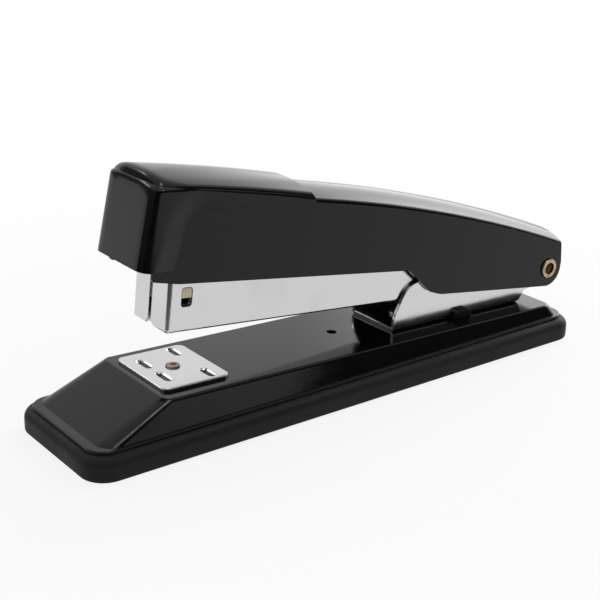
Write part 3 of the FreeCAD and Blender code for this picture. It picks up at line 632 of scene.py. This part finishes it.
def cap_mesh(sizes):
    """Moulded cap: a thin shell whose sides swell out towards the nose."""
    shape = CapShape(sizes)
    work = bmesh.new()
    turn = Matrix.Rotation(sizes.cover_tilt, 4, "Y")

    def add(grid, side=1.0):
        spots = [[work.verts.new(PIVOT + turn @ (Vector((x, side * y, z)) * MM)) for x, y, z in line]
                 for line in grid]
        for line, after in zip(spots, spots[1:]):
            for i in range(len(line) - 1):
                work.faces.new((line[i], line[i + 1], after[i + 1], after[i]))

    add(shape.side_grid(), -1.0)
    add(shape.side_grid())
    add(shape.top_grid())
    add(shape.front_grid())
    bmesh.ops.remove_doubles(work, verts=work.verts, dist=0.00002)
    bmesh.ops.recalc_face_normals(work, faces=work.faces)
    middle = PIVOT + turn @ (Vector((shape.front * 0.8, 0.0, 12.0)) * MM)
    outward = sum((face.calc_center_median() - middle).dot(face.normal) for face in work.faces)
    if outward < 0.0:
        bmesh.ops.reverse_faces(work, faces=work.faces)
    mesh = bpy.data.meshes.new("moulded_cap")
    work.to_mesh(mesh)
    work.free()
    mesh.shade_smooth()
    cap = bpy.data.objects.new("moulded_cap", mesh)
    bpy.context.scene.collection.objects.link(cap)
    wall = cap.modifiers.new("wall", "SOLIDIFY")
    wall.thickness = sizes.cap_wall
    wall.offset = -1.0
    return settled(cap)


def settled(piece):
    """The piece with its modifiers worked into a plain mesh."""
    view = bpy.context.evaluated_depsgraph_get()
    mesh = bpy.data.meshes.new_from_object(piece.evaluated_get(view))
    piece.modifiers.clear()
    piece.data = mesh
    mesh.set_sharp_from_angle(angle=math.radians(40.0))
    return piece


# ================================================================ spring
def coil_mesh(sizes, start, end):
    """Coil spring wound round the line from start to end."""
    tree = bpy.data.node_groups.new("coil", "GeometryNodeTree")
    tree.is_modifier = True
    tree.interface.new_socket("Geometry", in_out="INPUT", socket_type="NodeSocketGeometry")
    given_sizes = {
        "Turns": float(sizes.coil_turns),
        "Radius": sizes.coil_radius,
        "Wire": sizes.coil_wire,
        "Length": (end - start).length - 2.0 * sizes.coil_wire,
    }
    inputs = {}
    for name in given_sizes:
        socket = tree.interface.new_socket(name, in_out="INPUT", socket_type="NodeSocketFloat")
        inputs[name] = socket.identifier
    tree.interface.new_socket("Geometry", in_out="OUTPUT", socket_type="NodeSocketGeometry")
    given = tree.nodes.new("NodeGroupInput")
    path = tree.nodes.new("GeometryNodeCurveSpiral")
    path.inputs["Resolution"].default_value = 16
    wire = tree.nodes.new("GeometryNodeCurvePrimitiveCircle")
    wire.inputs["Resolution"].default_value = 8
    sweep = tree.nodes.new("GeometryNodeCurveToMesh")
    sweep.inputs["Fill Caps"].default_value = True
    smooth = tree.nodes.new("GeometryNodeSetShadeSmooth")
    real = tree.nodes.new("GeometryNodeRealizeInstances")
    paint = tree.nodes.new("GeometryNodeSetMaterial")
    paint.inputs["Material"].default_value = finish_for(spring_steel)
    out = tree.nodes.new("NodeGroupOutput")
    join = tree.links.new
    join(given.outputs["Turns"], path.inputs["Rotations"])
    join(given.outputs["Radius"], path.inputs["Start Radius"])
    join(given.outputs["Radius"], path.inputs["End Radius"])
    join(given.outputs["Length"], path.inputs["Height"])
    join(given.outputs["Wire"], wire.inputs["Radius"])
    join(path.outputs[0], sweep.inputs["Curve"])
    join(wire.outputs[0], sweep.inputs["Profile Curve"])
    join(sweep.outputs[0], smooth.inputs["Geometry"])
    join(smooth.outputs[0], real.inputs["Geometry"])
    join(real.outputs[0], paint.inputs["Geometry"])
    join(paint.outputs[0], out.inputs["Geometry"])
    coil = bpy.data.objects.new("coil_spring", bpy.data.meshes.new("coil_spring"))
    bpy.context.scene.collection.objects.link(coil)
    wound = coil.modifiers.new("coil", "NODES")
    wound.node_group = tree
    for name, value in given_sizes.items():
        wound[inputs[name]] = value
    settled(coil)
    line = (end - start).normalized()
    turn = line.to_track_quat("Z", "Y").to_matrix().to_4x4()
    coil.data.transform(Matrix.Translation(start + line * sizes.coil_wire) @ turn)
    return coil


# ================================================================ operators
class StaplerPiece:
    """What the operators share."""

    bl_options = {"REGISTER", "UNDO"}


class STAPLER_OT_foot(StaplerPiece, bpy.types.Operator):
    """Rubber foot with its screws and the plate above it"""

    bl_idname = "stapler.foot"
    bl_label = "Foot"

    def execute(self, context):
        dress(moulded_rubber, "base_pad")
        dress(zinc_plate, "base_floor", "pad_screws")
        return {"FINISHED"}


class STAPLER_OT_base(StaplerPiece, bpy.types.Operator):
    """Enamelled base and the channel inside it"""

    bl_idname = "stapler.base"
    bl_label = "Base"

    def execute(self, context):
        dress(gloss_enamel, "base_shell")
        dress(zinc_plate, "base_frame")
        return {"FINISHED"}


class STAPLER_OT_bracket(StaplerPiece, bpy.types.Operator):
    """Bright hinge bracket, its rivets and the small rests beside it"""

    bl_idname = "stapler.bracket"
    bl_label = "Bracket"

    def execute(self, context):
        dress(bright_chrome, "hinge_bracket")
        dress(zinc_plate, "bracket_rivets")
        dress(moulded_cap, "bracket_lugs")
        return {"FINISHED"}


class STAPLER_OT_pivot(StaplerPiece, bpy.types.Operator):
    """Hollow pivot rivet with its washers and spacers"""

    bl_idname = "stapler.pivot"
    bl_label = "Pivot"

    def execute(self, context):
        dress(turned_bronze, "pivot_rivet")
        dress(zinc_plate, "pivot_washers", "arm_spacers")
        return {"FINISHED"}


class STAPLER_OT_anvil(StaplerPiece, bpy.types.Operator):
    """Turning anvil plate, its rivet and the dished washer under it"""

    bl_idname = "stapler.anvil"
    bl_label = "Anvil"

    def execute(self, context):
        dress(bright_chrome, "anvil_plate")
        dress(turned_bronze, "anvil_rivet")
        dress(spring_steel, "anvil_spring")
        return {"FINISHED"}


class STAPLER_OT_magazine(StaplerPiece, bpy.types.Operator):
    """Bright magazine with the rail and rod inside it"""

    bl_idname = "stapler.magazine"
    bl_label = "Magazine"

    def execute(self, context):
        dress(bright_chrome, "magazine_sleeve", "magazine_arm", "staple_rail")
        dress(zinc_plate, "arm_rivets", "spring_rod")
        dress(moulded_cap, "rod_anchor")
        dress(cream_moulding, "hold_down_block")
        return {"FINISHED"}


class STAPLER_OT_pusher(StaplerPiece, bpy.types.Operator):
    """Pusher and its coil spring"""

    bl_idname = "stapler.pusher"
    bl_label = "Pusher"

    def execute(self, context):
        dress(zinc_plate, "pusher")
        sizes = context.scene.stapler_sizes
        low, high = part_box("pusher_spring")
        outside = sizes.coil_radius + sizes.coil_wire
        lean = Vector((RAIL_AXIS.z, 0.0, -RAIL_AXIS.x)) * -outside
        rear = Vector((high.x - lean.x, 0.0, low.z + lean.z))
        front = Vector((low.x + lean.x, 0.0, high.z - lean.z))
        coil = coil_mesh(sizes, rear, front)
        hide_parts("pusher_spring")
        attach(coil, "magazine")
        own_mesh(coil)
        return {"FINISHED"}


class STAPLER_OT_cover(StaplerPiece, bpy.types.Operator):
    """Enamelled cover with its driver blade"""

    bl_idname = "stapler.cover"
    bl_label = "Cover"

    def execute(self, context):
        dress(gloss_enamel, "cover_shell")
        dress(zinc_plate, "driver_blade", "driver_rivets")
        return {"FINISHED"}


class STAPLER_OT_cap(StaplerPiece, bpy.types.Operator):
    """Moulded cap over the nose"""

    bl_idname = "stapler.cap"
    bl_label = "Cap"

    def execute(self, context):
        cap = cap_mesh(context.scene.stapler_sizes)
        cap.data.materials.append(finish_for(moulded_cap))
        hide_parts("cover_cap")
        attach(cap, "cover")
        return {"FINISHED"}


class STAPLER_OT_leaves(StaplerPiece, bpy.types.Operator):
    """Leaf springs that lift the head and the cover"""

    bl_idname = "stapler.leaves"
    bl_label = "Leaf springs"

    def execute(self, context):
        dress(spring_steel, "lift_spring", "cover_spring")
        return {"FINISHED"}


class STAPLER_OT_stage(StaplerPiece, bpy.types.Operator):
    """Floor, lights, world and camera"""

    bl_idname = "stapler.stage"
    bl_label = "Stage"

    def execute(self, context):
        build_floor(context.scene.stapler_sizes.floor_radius)
        build_world()
        build_lights()
        build_camera(context.scene.stapler_sizes.camera_lens)
        context.scene.view_settings.view_transform = "Standard"
        return {"FINISHED"}


# ================================================================ stage
def build_floor(radius):
    """Pale floor with a soft shadow near the stapler. It fades to white, and in reflections it is
    dark in front of the stapler's near corner."""
    mesh = bpy.data.meshes.new("floor")
    shape = bmesh.new()
    place = Matrix.Translation((0.0, 0.0, -FLOOR_DROP))
    bmesh.ops.create_circle(shape, cap_ends=True, radius=radius, segments=96, matrix=place)
    shape.to_mesh(mesh)
    shape.free()
    floor = bpy.data.objects.new("floor", mesh)
    bpy.context.scene.collection.objects.link(floor)
    sheet = Sheet("floor")
    paper = sheet.make("ShaderNodeBsdfDiffuse", {}, (FLOOR_TONE, FLOOR_TONE, FLOOR_TONE, 1.0))
    rays = sheet.make("ShaderNodeLightPath", {})
    camera, glossy, clear = (Signal(sheet, rays.outputs[name])
                             for name in ("Is Camera Ray", "Is Glossy Ray", "Is Transmission Ray"))
    seen = camera.highest(glossy).highest(clear)
    here = sheet.add("ShaderNodeTexCoord", {}, output="Object")
    away = sheet.add("ShaderNodeVectorMath", {"operation": "LENGTH"}, here, output="Value")
    fade = away.between(0.06, 0.26, 0.84, 1.0)
    parts = sheet.make("ShaderNodeSeparateXYZ", {}, here)
    x, y = (Signal(sheet, part) for part in parts.outputs[:2])
    ahead = x * -FRONT_WAY[0] - y * FRONT_WAY[1]
    aside = x * FRONT_WAY[1] - y * FRONT_WAY[0]
    gloom = ahead.between(0.095, 0.125) * aside.between(0.05, 0.12, 1.0, 0.0)
    strength = 1.0 - 0.93 * gloom * glossy
    glow = sheet.make("ShaderNodeEmission", {}, (1.0, 1.0, 1.0, 1.0), strength)
    mix = sheet.make("ShaderNodeMixShader", {}, seen * fade)
    sheet.tree.links.new(paper.outputs[0], mix.inputs[1])
    sheet.tree.links.new(glow.outputs[0], mix.inputs[2])
    out = sheet.tree.nodes.new("ShaderNodeOutputMaterial")
    sheet.tree.links.new(mix.outputs[0], out.inputs[0])
    mesh.materials.append(sheet.material)


def build_world():
    """Pale studio: white to the eye, and in reflections a bright room with dark and bright places."""
    world = bpy.data.worlds.new("studio")
    bpy.context.scene.world = world
    world.use_nodes = True
    sheet = Sheet("room", world.node_tree)
    rays = sheet.make("ShaderNodeLightPath", {})
    camera, glossy, clear = (Signal(sheet, rays.outputs[name])
                             for name in ("Is Camera Ray", "Is Glossy Ray", "Is Transmission Ray"))
    way = sheet.add("ShaderNodeTexCoord", {}, output="Generated")
    parts = sheet.make("ShaderNodeSeparateXYZ", {}, way)
    along, side, rise = (Signal(sheet, part) for part in parts.outputs)
    behind = side.between(-0.50, -0.12, 1.0, 0.0) * rise.between(0.58, 0.82, 1.0, 0.0)
    left = along.between(-0.45, -0.15, 1.0, 0.0) * rise.between(0.28, 0.55, 1.0, 0.0)
    horizon = along.between(0.58, 0.70) * rise.between(0.38, 0.60, 1.0, 0.0)
    room = (1.0 + 1.2 * horizon) * (1.0 - 0.97 * behind) * (1.0 - 0.80 * left)
    for (x, y, z), power, tightness in REFLECTED_LAMPS:
        towards = along * x + side * y + rise * z
        room = room + power * ((towards - 1.0) * tightness).raised()
    seen = camera.highest(clear)
    strength = seen + (1.0 - seen) * (glossy * room + (1.0 - glossy) * ROOM_LIGHT)
    light = sheet.make("ShaderNodeBackground", {}, (1.0, 1.0, 1.0, 1.0), strength)
    out = sheet.tree.nodes.new("ShaderNodeOutputWorld")
    sheet.tree.links.new(light.outputs[0], out.inputs[0])


def build_lights():
    """Soft lamps that light the stapler but don't show in its gloss."""
    for name, place, width, height, power in LAMPS:
        data = bpy.data.lights.new(name, "AREA")
        data.shape = "RECTANGLE"
        data.size = width
        data.size_y = height
        data.energy = power
        lamp = bpy.data.objects.new(name, data)
        bpy.context.scene.collection.objects.link(lamp)
        lamp.location = place
        lamp.rotation_euler = (LAMP_AIM - Vector(place)).to_track_quat("-Z", "Y").to_euler()
        lamp.visible_glossy = False


def build_camera(lens):
    """Camera, rolled a little about its own line of sight."""
    level = Vector((math.sin(CAMERA_AZIMUTH), -math.cos(CAMERA_AZIMUTH), 0.0))
    back = level * math.cos(CAMERA_HEIGHT) + Vector((0.0, 0.0, math.sin(CAMERA_HEIGHT)))
    right = Vector((math.cos(CAMERA_AZIMUTH), math.sin(CAMERA_AZIMUTH), 0.0))
    upward = back.cross(right)
    across = right * math.cos(CAMERA_ROLL) + upward * math.sin(CAMERA_ROLL)
    rise = upward * math.cos(CAMERA_ROLL) - right * math.sin(CAMERA_ROLL)
    data = bpy.data.cameras.new("camera")
    data.lens = lens
    data.sensor_width = 36.0
    data.clip_start = 0.01
    data.clip_end = 50.0
    camera = bpy.data.objects.new("camera", data)
    bpy.context.scene.collection.objects.link(camera)
    turn = Matrix((across, rise, back)).transposed()
    camera.matrix_world = Matrix.Translation(CAMERA_PLACE) @ turn.to_4x4()
    bpy.context.scene.camera = camera


# ================================================================ panel and registration
PIECES = (STAPLER_OT_foot, STAPLER_OT_base, STAPLER_OT_bracket, STAPLER_OT_pivot, STAPLER_OT_anvil,
          STAPLER_OT_magazine, STAPLER_OT_pusher, STAPLER_OT_cover, STAPLER_OT_cap, STAPLER_OT_leaves,
          STAPLER_OT_stage)


class STAPLER_PT_panel(bpy.types.Panel):
    """Lists the pieces of the stapler with their sizes and colours"""

    bl_idname = "STAPLER_PT_panel"
    bl_label = "Stapler"
    bl_space_type = "VIEW_3D"
    bl_region_type = "UI"
    bl_category = "Stapler"

    def draw(self, context):
        for piece in PIECES:
            self.layout.operator(piece.bl_idname)
        for group in (context.scene.stapler_finish, context.scene.stapler_sizes):
            for name in group.bl_rna.properties.keys():
                if name not in ("rna_type", "name"):
                    self.layout.prop(group, name)


CLASSES = (StaplerFinish, StaplerSizes) + PIECES + (STAPLER_PT_panel,)


def register():
    for item in CLASSES:
        bpy.utils.register_class(item)
    bpy.types.Scene.stapler_finish = PointerProperty(type=StaplerFinish)
    bpy.types.Scene.stapler_sizes = PointerProperty(type=StaplerSizes)


def unregister():
    del bpy.types.Scene.stapler_sizes
    del bpy.types.Scene.stapler_finish
    for item in reversed(CLASSES):
        bpy.utils.unregister_class(item)


def main():
    register()
    for piece in PIECES:
        group, name = piece.bl_idname.split(".")
        getattr(getattr(bpy.ops, group), name)()


if __name__ == "__main__":
    main()
